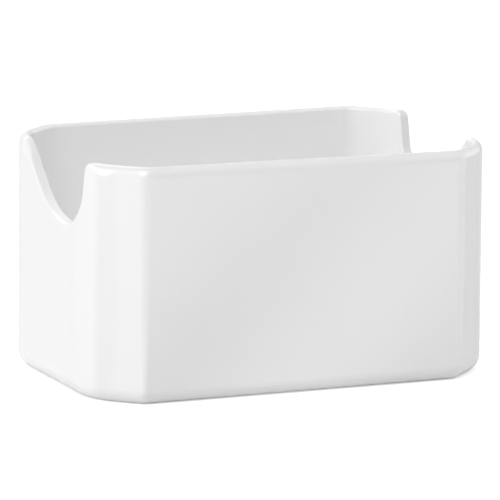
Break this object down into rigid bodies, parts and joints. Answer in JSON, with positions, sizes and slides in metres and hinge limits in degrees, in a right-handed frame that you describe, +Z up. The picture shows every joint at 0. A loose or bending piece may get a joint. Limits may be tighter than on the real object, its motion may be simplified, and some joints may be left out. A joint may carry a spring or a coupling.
{
  "type": "sugar packet holder",
  "caption": "Open-topped white porcelain box with chamfered corners and a finger notch in each end; holds sugar packets upright on a table.",
  "frame": {"origin": "on the table under the middle of the base", "axes": "+X along the long sides, +Y from one long side to the other, +Z up out of the open top"},
  "size_m": [0.108, 0.07, 0.0582],
  "materials": {
    "white_glaze": "glossy"
  },
  "bodies": {
    "root": {"packet_box": "white_glaze"}
  },
  "joints": []
}
